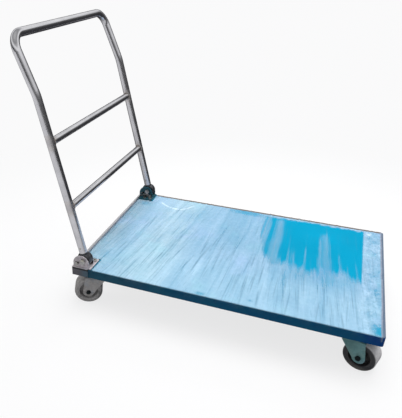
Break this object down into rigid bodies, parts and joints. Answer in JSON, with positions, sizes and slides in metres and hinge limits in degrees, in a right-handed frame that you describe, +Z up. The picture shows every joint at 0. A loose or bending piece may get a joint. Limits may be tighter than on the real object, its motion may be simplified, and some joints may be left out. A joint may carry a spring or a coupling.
{
  "type": "platform trolley",
  "caption": "Flat steel load deck on swivel castors with a tall bent tube push handle that folds forward onto the deck and locks with a sprung rod.",
  "frame": {"origin": "centre of the load face, on top of the deck", "axes": "+X towards the front of the trolley, away from the handle; +Y to the left of a person pushing; +Z up, out of the load face"},
  "size_m": [1.0781, 0.6114, 0.8295],
  "materials": {
    "deck_paint": "satin sky-blue powder coat",
    "film": "thin clear polyethylene film, wrinkled, glossy",
    "zinc": "bright zinc plated pressed steel",
    "zinc_bolt": "bright zinc plated fasteners",
    "chrome_tube": "polished chrome plated tube",
    "cam_steel": "machined steel, lightly oiled",
    "spring_steel": "zinc plated spring wire",
    "tyre_rubber": "matte grey-black solid rubber",
    "wheel_core": "moulded dark grey nylon",
    "ball_steel": "greased bearing steel"
  },
  "bodies": {
    "deck": {"deck_pan": "deck_paint", "castor_channel_front": "deck_paint", "castor_channel_rear": "deck_paint", "centre_channel": "deck_paint", "deck_ribs": "deck_paint", "film_wrap": "film", "handle_bracket_right": "zinc", "handle_bracket_left": "zinc", "bracket_bolts": "zinc_bolt", "bracket_weld_nuts": "zinc_bolt", "pivot_bolts": "zinc_bolt", "pivot_nuts": "zinc_bolt", "spring_posts": "zinc_bolt", "castor_plate_bolts": "zinc_bolt", "castor_plate_washers": "zinc_bolt", "castor_weld_nuts": "zinc_bolt", "latch_spring_right": "spring_steel", "latch_spring_left": "spring_steel", "castor_plate_front_right": "zinc", "castor_plate_front_left": "zinc", "castor_plate_rear_right": "zinc", "castor_plate_rear_left": "zinc", "castor_kingpins": "zinc_bolt", "castor_lower_washers": "zinc_bolt", "swivel_race_balls": "ball_steel"},
    "latch": {"latch_rod": "chrome_tube", "latch_rod_caps": "zinc_bolt"},
    "handle": {"handle_tube": "chrome_tube", "lower_rung": "chrome_tube", "upper_rung": "chrome_tube", "foot_cam_right": "cam_steel", "foot_cam_left": "cam_steel", "foot_cam_pins": "zinc_bolt"},
    "swivel_front_right": {"castor_fork_front_right": "zinc", "axle_bolt_front_right": "zinc_bolt", "axle_nut_front_right": "zinc_bolt", "axle_sleeve_front_right": "zinc_bolt"},
    "wheel_front_right": {"wheel_centre_front_right": "wheel_core", "tyre_front_right": "tyre_rubber"},
    "swivel_front_left": {"castor_fork_front_left": "zinc", "axle_bolt_front_left": "zinc_bolt", "axle_nut_front_left": "zinc_bolt", "axle_sleeve_front_left": "zinc_bolt"},
    "wheel_front_left": {"wheel_centre_front_left": "wheel_core", "tyre_front_left": "tyre_rubber"},
    "swivel_rear_right": {"castor_fork_rear_right": "zinc", "axle_bolt_rear_right": "zinc_bolt", "axle_nut_rear_right": "zinc_bolt", "axle_sleeve_rear_right": "zinc_bolt"},
    "wheel_rear_right": {"wheel_centre_rear_right": "wheel_core", "tyre_rear_right": "tyre_rubber"},
    "swivel_rear_left": {"castor_fork_rear_left": "zinc", "axle_bolt_rear_left": "zinc_bolt", "axle_nut_rear_left": "zinc_bolt", "axle_sleeve_rear_left": "zinc_bolt"},
    "wheel_rear_left": {"wheel_centre_rear_left": "wheel_core", "tyre_rear_left": "tyre_rubber"}
  },
  "joints": [
    {"name": "handle_fold", "type": "hinge", "parent": "deck", "child": "handle", "pos_m": [-0.41821, 0, 0.025], "axis": [0, 1, 0], "range_deg": [0, 103.95]},
    {"name": "latch_slide", "type": "slide", "parent": "deck", "child": "latch", "axis": [0.8942, 0, 0.4478], "range_m": [0, 0.0078], "deforming": ["latch_spring_right", "latch_spring_left"]},
    {"name": "swivel_front_right", "type": "hinge", "parent": "deck", "child": "swivel_front_right", "pos_m": [0.382, -0.25, -0.045], "axis": [0, 0, 1], "continuous": true},
    {"name": "wheel_spin_front_right", "type": "hinge", "parent": "swivel_front_right", "child": "wheel_front_right", "pos_m": [0.41037, -0.25977, -0.095], "axis": [-0.3256, -0.9455, 0], "continuous": true},
    {"name": "swivel_front_left", "type": "hinge", "parent": "deck", "child": "swivel_front_left", "pos_m": [0.382, 0.25, -0.045], "axis": [0, 0, 1], "continuous": true},
    {"name": "wheel_spin_front_left", "type": "hinge", "parent": "swivel_front_left", "child": "wheel_front_left", "pos_m": [0.40982, 0.23876, -0.095], "axis": [-0.3746, -0.9272, 0], "continuous": true},
    {"name": "swivel_rear_right", "type": "hinge", "parent": "deck", "child": "swivel_rear_right", "pos_m": [-0.394, -0.25, -0.045], "axis": [0, 0, 1], "continuous": true},
    {"name": "wheel_spin_rear_right", "type": "hinge", "parent": "swivel_rear_right", "child": "wheel_rear_right", "pos_m": [-0.42141, -0.2622, -0.095], "axis": [-0.4067, 0.9135, 0], "continuous": true},
    {"name": "swivel_rear_left", "type": "hinge", "parent": "deck", "child": "swivel_rear_left", "pos_m": [-0.394, 0.25, -0.045], "axis": [0, 0, 1], "continuous": true},
    {"name": "wheel_spin_rear_left", "type": "hinge", "parent": "swivel_rear_left", "child": "wheel_rear_left", "pos_m": [-0.42311, 0.24274, -0.095], "axis": [-0.2419, 0.9703, 0], "continuous": true}
  ]
}
